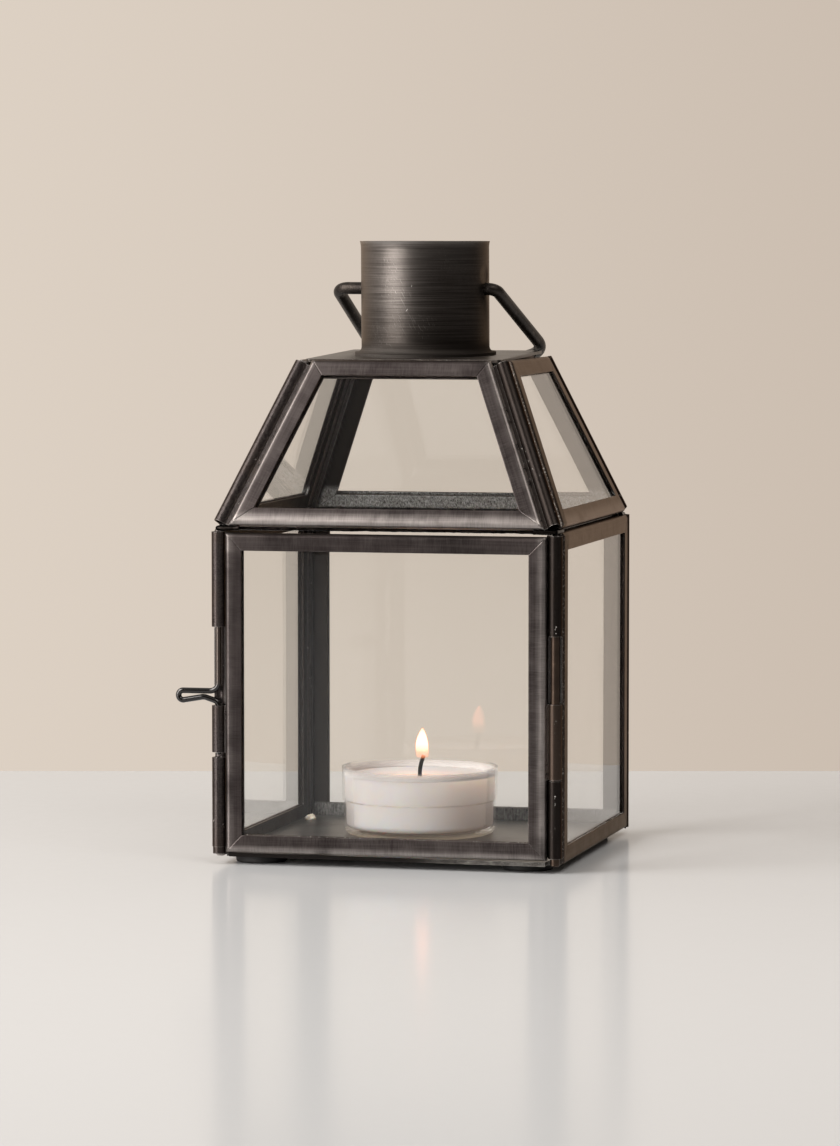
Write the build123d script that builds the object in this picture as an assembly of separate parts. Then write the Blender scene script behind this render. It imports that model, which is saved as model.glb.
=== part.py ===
"""Candle lantern: a square glass body with a hinged door, a glazed roof, a chimney and a bail.

Every pane sits in a frame of folded channel strip, mitred at its corners. A small round tube stands in
the notch at each corner between two frames. At the front those tubes are cut into sleeves and knuckles:
a pin through them hinges the door on the right, and a bent wire pins it shut on the left.

Frame: origin on the surface under the middle of the body, +Z up, the door faces -Y. Millimetres.
"""
import os
from math import acos, atan2, cos, degrees, hypot, radians, sin, tan

from build123d import *

# Body
body_width = 85.5            # square, over the outer faces of the panels
panel_height = 78.6          # side and back panels
foot_height = 1.8
foot_diameter = 12.3
foot_inset = 10.0            # pad centre from the outer faces
foot_round = 0.6
base_thickness = 1.0
base_left_setback = 2.6      # front corners of the base plate behind the door's face: it lies askew
base_right_setback = 0.3

# Channel strip and glass
came_face = 4.2
came_wall = 0.5
came_round = 1.1             # outer edges
glass_thickness = 1.8
glass_play = 0.1             # glass to each lip of the channel
glass_edge_gap = 0.3         # glass to the bottom of the channel
mitre_gap = 0.04             # taken off each strip end
solder_gap = 0.1             # film between soldered pieces

# Corner tubes, hinge pin and solder seams
pin_diameter = 2.3
pin_clearance = 0.08         # radial, pin in tube
pin_chamfer = 0.25
tube_wall = 0.4
tube_inset = 0.1             # tube inside the planes of the faces beside it
edge_gap = 0.28              # tube to panel edge, over the inset so that the open door clears the side
seam_width = 1.2             # solder seam between tube and panel edge

# Door
door_floor_gap = 0.3
door_head_gap = 0.9
sleeve_head_gap = 0.7        # top of the upper sleeves below the panels' top
hinge_foot_rise = 1.8        # lower hinge sleeve above the panels' bottom
hinge_upper_length = 23.6    # closed part of the upper sleeve
hinge_lower_length = 18.4
hinge_knuckle_length = 17.8
hinge_knuckle_gap = 0.3      # the knuckle turns between the sleeves
pin_head_gap = 1.0           # pin end inside the top of the upper sleeve

# Latch
latch_foot_rise = 2.5
latch_plug_height = 1.7      # closed end under the lower sleeve
latch_plug_step = 0.15
latch_upper_length = 22.7    # closed part of the upper sleeve
latch_lower_length = 21.4
latch_knuckle_length = 11.2
latch_knuckle_gap = 1.25
latch_wire_diameter = 1.4
latch_tip_reach = 0.5        # wire tip below the door's knuckle
latch_guide_length = 22.5    # upper leg above the grip
latch_loop_rise = 3.4        # upper wire of the grip above the knuckle's mouth
latch_loop_height = 2.5      # between wire centres
latch_loop_roundness = 0.44  # end bends, as a share of the loop's height
latch_loop_reach = 9.95      # from the tube's axis to the end of the grip
latch_neck_reach = 3.6
latch_neck_gap = 0.1         # wire to wire at the pinched neck
latch_mouth_rise = 0.8       # bend of the lower leg above the knuckle's mouth
latch_upper_bend = 2.2
latch_neck_bend = 2.5
latch_lower_bend = 1.4
latch_window_rise = 0.35     # cut-away part of the upper sleeve above the knuckle's mouth
latch_window_play = 0.2      # wire to the tube's back in the cut-away part

# Roof
roof_height = 38.9           # outer lower edge to outer upper edge
roof_top_width = 52.2
roof_inset = 0.2             # lower edge inside the body's faces, each side
hip_gap = 0.8                # hip tube to the edges of the roof panels
hip_foot_rise = 0.1          # hip tube ends, along the height
hip_head_drop = 1.1

# Top plate and chimney
plate_setback = 2.1          # edges inside the roof's upper outer edges
plate_tilt = 1.4             # degrees, rear edge up
plate_sheet = 0.7
plate_corner = 1.0
draught_diameter = 27.0
chimney_diameter = 31.2
chimney_height = 28.0        # at the front, because the rim is cut level
chimney_wall = 0.7
rim_flare = 0.35
rim_height = 2.0
foot_flare = 1.3
foot_lip = 0.3

# Bail
bail_wire_diameter = 3.0
bail_pivot_height = 16.05    # above the plate
bail_turn = 7.0              # degrees, right hole towards the door
bail_clearance = 0.1         # radial, wire in the chimney's hole
bail_left_stub = 2.0         # wire ends inside the chimney's outer face
bail_right_stub = 5.9
bail_left_arm = 23.1         # arm centres at the pivot from the chimney's axis: the bail lies to the left
bail_right_arm = 18.2
bail_splay = 2.3             # each arm outwards, from pivot to grip
bail_reach = 39.2            # pivot to grip centre
bail_left_bend = 3.3
bail_right_bend = 2.1
bail_grip_bend = 9.5
bail_rest_gap = 0.4

# Tealight
cup_diameter = 38.5
cup_height = 16.5
cup_wall = 0.6
cup_floor = 0.8
cup_recess = 0.8             # hollow under the floor
cup_ring = 3.4               # foot ring round the hollow, from the side
cup_heel = 1.9               # outside radius of the bottom edge
cup_draft = 0.015            # slope of the side, outwards per height
cup_step = 0.3               # stacking step half way up
cup_step_height = 8.1
cup_step_rise = 0.4
cup_seat_gap = 0.05
cup_offset_x = -3.5
cup_offset_y = 9.2
wax_gap = 0.06
wax_below_rim = 2.0
wax_dish = 0.5
wick_diameter = 1.0
wick_height = 4.6            # above the wax
wick_lean = 1.0
tab_diameter = 12.0
tab_thickness = 0.3
tab_neck_diameter = 3.2
tab_neck_height = 4.0
wick_play = 0.05

# Worked-out sizes
half_body = body_width / 2
came_depth = glass_thickness + 2 * glass_play + 2 * came_wall
tube_bore = pin_diameter / 2 + pin_clearance
tube_radius = tube_bore + tube_wall
tube_place = half_body - tube_inset - tube_radius
notch = tube_inset + 2 * tube_radius + edge_gap
panel_half = half_body - notch
base_top = foot_height + base_thickness
side_top = foot_height + panel_height
door_bottom = base_top + door_floor_gap
door_top = side_top - door_head_gap
sleeve_top = side_top - sleeve_head_gap

roof_half_low = half_body - roof_inset
roof_half_top = roof_top_width / 2
roof_run = roof_half_low - roof_half_top
roof_lean = atan2(roof_run, roof_height)
roof_low = side_top + solder_gap + came_depth * sin(roof_lean)
roof_top = roof_low + roof_height
roof_slant = hypot(roof_run, roof_height)

plate_half = roof_half_top - plate_setback
plate_front = roof_top - plate_setback * tan(roof_lean) + solder_gap
plate_rise = plate_half * sin(radians(plate_tilt))
plate_place = Pos(0, 0, plate_front + plate_rise) * Rot(plate_tilt, 0, 0)
chimney_place = plate_place * Pos(0, 0, plate_sheet)
chimney_radius = chimney_diameter / 2
bail_wire_radius = bail_wire_diameter / 2
bail_place = chimney_place * Pos(0, 0, bail_pivot_height) * Rot(0, 0, -bail_turn)


def face_of(points):
    """A flat face inside a closed run of straight edges."""
    return make_face(Polyline(*points, close=True))


def slab(points, bottom, top):
    """A straight slab over an outline, between two heights."""
    return Pos(0, 0, bottom) * extrude(face_of(points), amount=top - bottom)


def drum(radius, bottom, top):
    """A round bar between two heights."""
    return Pos(0, 0, bottom) * extrude(Circle(radius), amount=top - bottom)


def inset(points, distance):
    """The outline moved inwards by a distance. Its points run anticlockwise."""
    count = len(points)
    moved = []
    for i in range(count):
        before, here, after = Vector(points[i - 1]), Vector(points[i]), Vector(points[(i + 1) % count])
        one = (here - before).normalized()
        two = (after - here).normalized()
        turn = one.X * two.Y - one.Y * two.X
        corner = here + (two - one) * (distance / turn)
        moved.append((corner.X, corner.Y))
    return moved


def strip(outline, side):
    """One channel strip of a frame: mitred ends, rounded outer edges, and a groove for the glass."""
    follow = (side + 1) % len(outline)
    start, end = Vector(outline[side]), Vector(outline[follow])
    along = (end - start).normalized()
    inwards = Vector(-along.Y, along.X)

    def mitred(near, far, trim):
        low, high = inset(outline, near), inset(outline, far)
        corners = [low[side], low[follow], high[follow], high[side]]
        signs = [1, -1, -1, 1]
        return [(x + s * trim * along.X, y + s * trim * along.Y) for (x, y), s in zip(corners, signs)]

    body = slab(mitred(0, came_face, mitre_gap), -came_depth, 0)
    length = (end - start).length
    outer = [
        edge for edge in body.edges()
        if abs((edge.center() - start).dot(inwards)) < mitre_gap and edge.length > length / 2
    ]
    body = fillet(outer, came_round)
    groove = mitred(came_wall, came_face + came_wall, -mitre_gap)
    return body - slab(groove, came_wall - came_depth, -came_wall)


def pane(outline):
    """The glass of a frame, inside its four grooves."""
    front = -came_wall - glass_play
    return slab(inset(outline, came_wall + glass_edge_gap), front - glass_thickness, front)


def frame_pieces(name, outline, place, stiles=("right_stile", "left_stile")):
    """The four strips and the glass of one panel, seen from outside, in their place."""
    sides = ["bottom_rail", stiles[0], "top_rail", stiles[1]]
    pieces = {f"{name}_{side}": place * strip(outline, i) for i, side in enumerate(sides)}
    pieces[f"{name}_glass"] = place * pane(outline)
    return pieces


def upright(half, bottom, top):
    """The outline of an upright panel."""
    return [(-half, bottom), (half, bottom), (half, top), (-half, top)]


def outer_face(turn):
    """The plane of one outer face of the body: 0 is the front, 90 the right side."""
    angle = radians(turn)
    outwards = Vector(sin(angle), -cos(angle), 0)
    return Plane(outwards * half_body, x_dir=(cos(angle), sin(angle), 0), z_dir=outwards)


def roof_face(turn):
    """The plane of one outer face of the roof, from the middle of its lower edge."""
    angle = radians(turn)
    level = Vector(sin(angle), -cos(angle), 0)
    outwards = level * cos(roof_lean) + Vector(0, 0, sin(roof_lean))
    foot = level * roof_half_low + Vector(0, 0, roof_low)
    return Plane(foot, x_dir=(cos(angle), sin(angle), 0), z_dir=outwards)


def seamed_tube(bottom, top, gap, seam_turns):
    """A round tube with solder seams across a gap to the panel edges in the directions given."""
    reach = tube_radius + gap
    half = seam_width / 2
    outline = [(0, -half), (reach, -half), (reach, half), (0, half)]
    tube = drum(tube_radius, bottom, top)
    for turn in seam_turns:
        tube += Rot(0, 0, turn) * slab(outline, bottom, top)
    return tube - drum(tube_bore, bottom, top)


def corner_tube(side_x, side_y, bottom, top, seam_turns):
    """A tube in a corner notch of the body."""
    return Pos(side_x * tube_place, side_y * tube_place, 0) * seamed_tube(bottom, top, edge_gap, seam_turns)


def windowed_sleeve(side_x, bottom, sill, top, depth):
    """A front corner sleeve cut away below the sill, from the front to a depth behind its axis."""
    reach = tube_radius + edge_gap
    front = slab([(-reach, -reach), (reach, -reach), (reach, depth), (-reach, depth)], bottom, sill)
    return corner_tube(side_x, -1, bottom, top, (90,)) - Pos(side_x * tube_place, -tube_place, 0) * front


def wire(points, bends, diameter):
    """A round wire along straight runs joined by tangent bends."""
    path = FilletPolyline(*points, radius=bends)
    return sweep(Plane(path @ 0, z_dir=path % 0) * Circle(diameter / 2), path=path)


nodes = {}

# Upright panels
side_outline = upright(panel_half, foot_height, side_top)
door_outline = upright(panel_half, door_bottom, door_top)
nodes |= frame_pieces("door", door_outline, outer_face(0), ("hinge_stile", "latch_stile"))
nodes |= frame_pieces("right", side_outline, outer_face(90), ("rear_stile", "front_stile"))
nodes |= frame_pieces("back", side_outline, outer_face(180))
nodes |= frame_pieces("left", side_outline, outer_face(270), ("front_stile", "rear_stile"))

# Roof panels: their edges stand back from the hips, where the hip tubes lie
face_turn = acos(sin(roof_lean) ** 2)
hip_depth = tube_radius + tube_inset
hip_notch = hip_depth * tan(face_turn / 2) + tube_radius + hip_gap
hip_back = hip_notch / cos(atan2(roof_run, roof_slant))
roof_outline = [
    (hip_back - roof_half_low, 0),
    (roof_half_low - hip_back, 0),
    (roof_half_top - hip_back, roof_slant),
    (hip_back - roof_half_top, roof_slant),
]
for turn, side in ((0, "front"), (90, "right"), (180, "back"), (270, "left")):
    nodes |= frame_pieces(f"roof_{side}", roof_outline, roof_face(turn))


def hip_tube(side_x, side_y):
    """A tube along one hip of the roof, just inside the planes of both faces and soldered to their edges."""
    climb = Vector(-side_x * roof_run, -side_y * roof_run, roof_height)
    lift = Vector(side_x * cos(roof_lean), side_y * cos(roof_lean), 2 * sin(roof_lean)).normalized()
    hip_foot = Vector(side_x * roof_half_low, side_y * roof_half_low, roof_low)
    axis_foot = hip_foot - lift * (hip_depth / cos(face_turn / 2))
    start = axis_foot + climb * (hip_foot_rise / roof_height + (hip_foot.Z - axis_foot.Z) / roof_height)
    length = climb.length * (roof_height - hip_foot_rise - hip_head_drop) / roof_height
    turn = 90 + degrees(face_turn / 2)
    return Plane(start, x_dir=lift, z_dir=climb) * seamed_tube(0, length, hip_gap, (turn, -turn))


corners = [(-1, -1), (1, -1), (1, 1), (-1, 1)]
nodes["roof_hip_tubes"] = Compound([hip_tube(x, y) for x, y in corners])

# Rear corner tubes
nodes["rear_left_corner_tube"] = corner_tube(-1, 1, foot_height, side_top, (0, -90))
nodes["rear_right_corner_tube"] = corner_tube(1, 1, foot_height, side_top, (180, -90))

# Hinge: sleeves on the right panel, a knuckle on the door, and one pin through all three. The upper sleeve
# is half cut away above the knuckle, so that the pin shows
hinge_low = foot_height + hinge_foot_rise
hinge_lower_top = hinge_low + hinge_lower_length
knuckle_low = hinge_lower_top + hinge_knuckle_gap
knuckle_top = knuckle_low + hinge_knuckle_length
hinge_sill = sleeve_top - hinge_upper_length
nodes["hinge_lower_sleeve"] = corner_tube(1, -1, hinge_low, hinge_lower_top, (90,))
nodes["hinge_upper_sleeve"] = windowed_sleeve(1, knuckle_top + hinge_knuckle_gap, hinge_sill, sleeve_top, 0)
nodes["door_hinge_knuckle"] = corner_tube(1, -1, knuckle_low, knuckle_top, (180,))
pin = drum(pin_diameter / 2, foot_height, sleeve_top - pin_head_gap)
pin = chamfer(pin.edges(), pin_chamfer)
nodes["hinge_pin"] = Pos(tube_place, -tube_place, 0) * pin

# Latch: sleeves on the left panel, a knuckle on the door, and a bent wire that lifts out of the knuckle.
# The upper sleeve is cut away in front of the wire, where the wire's loop slides up
latch_low = foot_height + latch_foot_rise
latch_lower_top = latch_low + latch_lower_length
mouth = latch_lower_top + latch_knuckle_gap + latch_knuckle_length
latch_sill = sleeve_top - latch_upper_length
latch_back = latch_wire_diameter / 2 + latch_window_play
plug = Pos(-tube_place, -tube_place, 0) * drum(
    tube_radius - latch_plug_step, latch_low - latch_plug_height, latch_low
)
nodes["latch_lower_sleeve"] = corner_tube(-1, -1, latch_low, latch_lower_top, (90,)) + plug
nodes["latch_upper_sleeve"] = windowed_sleeve(
    -1, mouth + latch_window_rise, latch_sill, sleeve_top, latch_back
)
nodes["door_latch_knuckle"] = corner_tube(-1, -1, mouth - latch_knuckle_length, mouth, (0,))


def latch_wire():
    """Guide leg, pinched finger loop and locking leg, bent from one wire."""
    loop_top = mouth + latch_loop_rise
    neck = loop_top - latch_wire_diameter - latch_neck_gap
    tip = mouth - latch_knuckle_length - latch_tip_reach
    loop_bend = latch_loop_roundness * latch_loop_height
    route = [
        (0, loop_top + latch_guide_length),
        (0, loop_top),
        (-latch_loop_reach, loop_top),
        (-latch_loop_reach, loop_top - latch_loop_height),
        (-latch_neck_reach, neck + latch_neck_gap),
        (0, mouth + latch_mouth_rise),
        (0, tip),
    ]
    bends = [latch_upper_bend, loop_bend, loop_bend, latch_neck_bend, latch_lower_bend]
    points = [(x - tube_place, -tube_place, z) for x, z in route]
    return wire(points, bends, latch_wire_diameter)


nodes["latch_wire"] = latch_wire()

# Base plate between the panels, cut back at the front for the corner tubes, and its pads
base_half = half_body - came_depth - solder_gap
base_front_half = panel_half - edge_gap
base_shoulder = -panel_half
base_outline = [
    (-base_front_half, base_left_setback - half_body),
    (base_front_half, base_right_setback - half_body),
    (base_front_half, base_shoulder),
    (base_half, base_shoulder),
    (base_half, base_half),
    (-base_half, base_half),
    (-base_half, base_shoulder),
    (-base_front_half, base_shoulder),
]
nodes["base_plate"] = slab(base_outline, foot_height, base_top)
pad = drum(foot_diameter / 2, 0, foot_height)
pad = fillet(pad.edges().sort_by(Axis.Z)[0], foot_round)
pad_place = half_body - foot_inset
nodes["foot_pads"] = Compound([Pos(x * pad_place, y * pad_place, 0) * pad for x, y in corners])

# Top plate: a square sheet in the dish of the roof's upper rails, open under the chimney
plate = RectangleRounded(2 * plate_half, 2 * plate_half, plate_corner) - Circle(draught_diameter / 2)
nodes["top_plate"] = plate_place * extrude(plate, amount=plate_sheet)


def chimney():
    """A spun tube with a flared foot and a slightly flared, level rim, drilled for the bail."""
    inner = chimney_radius - chimney_wall
    bend = foot_flare + chimney_wall
    foot_edge = chimney_radius + foot_flare
    wall_foot = chimney_wall + foot_flare
    wall_head = chimney_height - rim_height
    outside = [
        Line((foot_edge + foot_lip, 0), (foot_edge + foot_lip, chimney_wall)),
        Line((foot_edge + foot_lip, chimney_wall), (foot_edge, chimney_wall)),
        RadiusArc((foot_edge, chimney_wall), (chimney_radius, wall_foot), foot_flare),
        Line((chimney_radius, wall_foot), (chimney_radius, wall_head)),
        TangentArc((chimney_radius, wall_head), (chimney_radius + rim_flare, chimney_height), tangent=(0, 1)),
    ]
    inside = [
        TangentArc((inner, wall_head), (inner + rim_flare, chimney_height), tangent=(0, 1)),
        Line((inner, wall_head), (inner, wall_foot)),
        RadiusArc((foot_edge, 0), (inner, wall_foot), bend),
    ]
    rim = Line((chimney_radius + rim_flare, chimney_height), (inner + rim_flare, chimney_height))
    sole = Line((foot_edge, 0), (foot_edge + foot_lip, 0))
    profile = make_face(outside + [rim] + inside + [sole])
    tube = revolve(Plane.XZ * profile, Axis.Z)
    hole = Rot(0, 90, 0) * drum(bail_wire_radius + bail_clearance, -chimney_diameter, chimney_diameter)
    above = drum(chimney_diameter, rim_top, rim_top + chimney_height)
    return chimney_place * tube - bail_place * hole - above


front_of_rim = chimney_place * Pos(0, -chimney_radius - rim_flare, chimney_height)
rim_top = front_of_rim.position.Z
nodes["chimney"] = chimney()


def bail():
    """The carrying loop, folded back until its right arm lies just above the plate's rear edge."""
    turn = radians(bail_turn)
    rest = (plate_half + bail_right_arm * sin(turn)) / cos(turn)
    slope = acos((bail_wire_radius + bail_rest_gap) / hypot(rest, bail_pivot_height))
    drop = slope - atan2(rest, bail_pivot_height)
    left_grip, right_grip = -bail_left_arm - bail_splay, bail_right_arm + bail_splay
    route = [
        (bail_left_stub - chimney_radius, 0),
        (-bail_left_arm, 0),
        (left_grip, bail_reach),
        (right_grip, bail_reach),
        (bail_right_arm, 0),
        (chimney_radius - bail_right_stub, 0),
    ]
    bends = [bail_left_bend, bail_grip_bend, bail_grip_bend, bail_right_bend]
    points = [(x, y * cos(drop), -y * sin(drop)) for x, y in route]
    middle = Pos((left_grip + right_grip) / 2, bail_reach * cos(drop), -bail_reach * sin(drop))
    print(f"bail folds {degrees(drop):.2f} degrees, middle of its grip {(bail_place * middle).position}")
    return bail_place * wire(points, bends, bail_wire_diameter)


nodes["bail"] = bail()

# Tealight: clear cup, wax, wick and the tab that holds the wick up
cup_radius = cup_diameter / 2
cup_bottom = base_top + cup_seat_gap
cup_place = Pos(cup_offset_x, cup_offset_y, cup_bottom)
cup_inside = cup_recess + cup_floor
wax_top = cup_height - wax_below_rim
tab_radius = tab_diameter / 2
neck_radius = tab_neck_diameter / 2
wick_radius = wick_diameter / 2
tab_bottom = cup_inside + wax_gap


def cup_side(height):
    """Outside radius of the cup at a height, with its draft and the step that cups stack on."""
    step_share = (cup_step_height + cup_step_rise - height) / cup_step_rise
    return cup_radius - cup_draft * (cup_height - height) - cup_step * min(1, max(0, step_share))


def half_section(inwards, floor, top):
    """Floor, rounded heel and side of a round body that follows the cup's outside at a distance."""
    heel = cup_heel - inwards
    heights = (floor + heel, cup_step_height, cup_step_height + cup_step_rise, top)
    side = [(cup_side(height) - inwards, height) for height in heights]
    foot = (side[0][0] - heel, floor)
    return [Line((0, floor), foot), TangentArc(foot, side[0], tangent=(1, 0)), Polyline(*side)], side[-1]


def cup():
    """A thin moulded cup: foot ring, rounded heel, stacking step and plain rim."""
    outside, outer_rim = half_section(0, 0, cup_height)
    inside, inner_rim = half_section(cup_wall, cup_inside, cup_height)
    closing = [Line(outer_rim, inner_rim), Line((0, cup_inside), (0, 0))]
    body = revolve(Plane.XZ * make_face(outside + inside + closing), Axis.Z)
    return body - drum(cup_side(0) - cup_ring, 0, cup_recess)


def wax():
    """The wax fill, dished where it melts, with room for the wick and its tab."""
    low, middle = tab_bottom, wax_top - wax_dish
    edges, rim = half_section(cup_wall + wax_gap, low, wax_top)
    dish = [TangentArc((0, middle), rim, tangent=(1, 0)), Line((0, middle), (0, low))]
    body = revolve(Plane.XZ * make_face(edges + dish), Axis.Z)
    body -= drum(tab_radius + wax_gap, low, low + tab_thickness + wax_gap)
    body -= drum(neck_radius + wax_gap, low, low + tab_thickness + tab_neck_height + wax_gap)
    return body - drum(wick_radius + wick_play, low, wax_top)


def wick():
    """The cord: straight in the wax, leaning over above it."""
    low, bend, high = tab_bottom, wax_top, wax_top + wick_height
    straight = Line((0, 0, low), (0, 0, bend))
    lean = TangentArc((0, 0, bend), (wick_lean, 0, high), tangent=(0, 0, 1))
    path = Wire([straight, lean])
    return sweep(Plane((0, 0, low), z_dir=(0, 0, 1)) * Circle(wick_radius), path=path)


tab = drum(tab_radius, tab_bottom, tab_bottom + tab_thickness)
tab += drum(neck_radius, tab_bottom, tab_bottom + tab_thickness + tab_neck_height)
tab -= drum(wick_radius + wick_play, 0, cup_height)
nodes["tealight_cup"] = cup_place * cup()
nodes["tealight_wax"] = cup_place * wax()
nodes["tealight_wick"] = cup_place * wick()
nodes["tealight_wick_tab"] = cup_place * tab

os.makedirs("parts", exist_ok=True)
for name, piece in nodes.items():
    export_step(piece, f"parts/{name}.step")
print(len(nodes), "nodes")
print(f"height {rim_top:.2f}, door axis {tube_place:.3f}")
print(f"bail axis through {bail_place.position} along {Plane(bail_place).x_dir}")
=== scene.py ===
# %% [markdown]
# # A candle lantern of soldered zinc strip and glass
# Every pane of this lantern sits in a frame of folded strip, and every frame is soldered to round tubes
# that stand in the corners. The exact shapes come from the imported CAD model. This lesson gives them the
# finishes of the real thing: dark brushed zinc with worn edges, clear glass, wax, and the solder itself.

# %% Load the model
from math import atan2, cos, hypot, pi, radians, sin

import bmesh
import bpy
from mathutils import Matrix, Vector, noise


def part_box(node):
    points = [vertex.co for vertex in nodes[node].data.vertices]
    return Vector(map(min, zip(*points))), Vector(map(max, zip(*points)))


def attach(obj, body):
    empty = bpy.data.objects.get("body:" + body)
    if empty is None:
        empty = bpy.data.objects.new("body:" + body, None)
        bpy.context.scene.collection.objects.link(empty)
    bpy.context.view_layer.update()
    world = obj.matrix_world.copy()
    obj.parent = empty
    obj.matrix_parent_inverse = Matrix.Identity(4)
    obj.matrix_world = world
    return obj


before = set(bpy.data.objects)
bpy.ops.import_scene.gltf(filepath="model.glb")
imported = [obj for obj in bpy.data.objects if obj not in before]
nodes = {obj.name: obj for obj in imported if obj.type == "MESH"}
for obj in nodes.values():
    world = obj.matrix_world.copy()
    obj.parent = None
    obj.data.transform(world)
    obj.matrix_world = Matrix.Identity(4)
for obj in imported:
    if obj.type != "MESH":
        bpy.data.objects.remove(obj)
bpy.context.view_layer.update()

# %% [markdown]
# ## Camera
# The picture was taken from a little above the roof, about 1.2 m away with a long lens, so the uprights
# stay almost parallel. The camera stands 13.4 degrees round from the door and looks down by under 4
# degrees. The place was found once by fitting the frame's corners. A longer lens from further away would
# look almost the same, but the roof would lose its slight perspective. The first helper puts new data
# into the scene.

# %% Camera
def add(name, data):
    """A new object in the scene."""
    item = bpy.data.objects.new(name, data)
    bpy.context.scene.collection.objects.link(item)
    return item


view_turn, view_pitch = radians(13.387), radians(3.873)
camera = add("camera", bpy.data.cameras.new("camera"))
camera.location = (0.28365, -1.19777, 0.15105)
camera.rotation_euler = (pi / 2 - view_pitch, 0, view_turn)
camera.data.lens = 158.6
camera.data.clip_start = 0.01
bpy.context.scene.camera = camera
view_ahead = Vector((-sin(view_turn), cos(view_turn), 0))
view_aside = Vector((cos(view_turn), sin(view_turn), 0))
print("camera", round((camera.location - Vector((0, 0, 0.07))).length, 3), "m from the lantern")

# %% [markdown]
# ## Arithmetic for nodes
# A finish is a sum of patterns, and node links make a long list of them hard to read. `Value` wraps one
# output of a node, so that `1 - mask` or `grain * 0.3` adds the Math node by itself. Driving every
# pattern from an image would be shorter, but an image has a fixed size and shows its pixels close up.

# %% Values
class Value:
    """One output of a node tree, ready for arithmetic."""
    def __init__(self, tree, socket):
        self.tree, self.socket = tree, socket

    def maths(self, operation, *others):
        return self.tree.node("ShaderNodeMath", {"operation": operation}, dict(enumerate((self, *others))))

    def __add__(self, other):
        return self.maths("ADD", other)

    def __sub__(self, other):
        return self.maths("SUBTRACT", other)

    def __mul__(self, other):
        return self.maths("MULTIPLY", other)

    def __truediv__(self, other):
        return self.maths("DIVIDE", other)

    def __rsub__(self, other):
        return self.tree.node("ShaderNodeMath", {"operation": "SUBTRACT"}, {0: other, 1: self})

    __radd__, __rmul__ = __add__, __mul__

    def most(self, other):
        return self.maths("MAXIMUM", other)

    def least(self, other):
        return self.maths("MINIMUM", other)

    def size(self):
        return self.maths("ABSOLUTE")

    def step(self, low, high):
        """0 below one value, 1 above the other, and a smooth rise between them."""
        settings = {"interpolation_type": "SMOOTHSTEP"}
        return self.tree.node("ShaderNodeMapRange", settings, {0: self, 1: low, 2: high})


print("arithmetic for nodes ready")

# %% [markdown]
# ## Trees
# Blender keeps a material, the World and a Geometry Nodes modifier all as trees of nodes. Nodes can be
# added and linked one call at a time, but then the wiring hides the pattern. `Tree.node` does it in one
# call: a node's type, then its settings, then the values or links of its sockets.

# %% Trees
class Tree:
    """A node tree being written."""
    def __init__(self, tree):
        self.tree = tree

    def node(self, kind, settings=None, sockets=None, out=0):
        made = self.tree.nodes.new(kind)
        for name, value in (settings or {}).items():
            setattr(made, name, value)
        self.plug(made, sockets or {})
        return Value(self, made.outputs[out]) if len(made.outputs) else made

    def plug(self, made, sockets):
        for name, value in sockets.items():
            if isinstance(value, Value):
                self.tree.links.new(value.socket, made.inputs[name])
            else:
                made.inputs[name].default_value = value

    def dot(self, vector, direction):
        return self.node("ShaderNodeVectorMath", {"operation": "DOT_PRODUCT"}, {0: vector, 1: direction}, 1)

    def mix(self, share, one, two):
        return self.node("ShaderNodeMix", {"data_type": "RGBA"}, {0: share, 6: one, 7: two}, 2)


print("trees ready")

# %% [markdown]
# ## The tools of a finisher
# Real finishes come from few gestures: brushing along a strip, patina that gathers in clouds, handling
# that polishes the edges. Each gets one method here. Patterns read Object coordinates, which are metres
# in the lantern's own frame, so a brush mark is given its true length and width.

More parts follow.
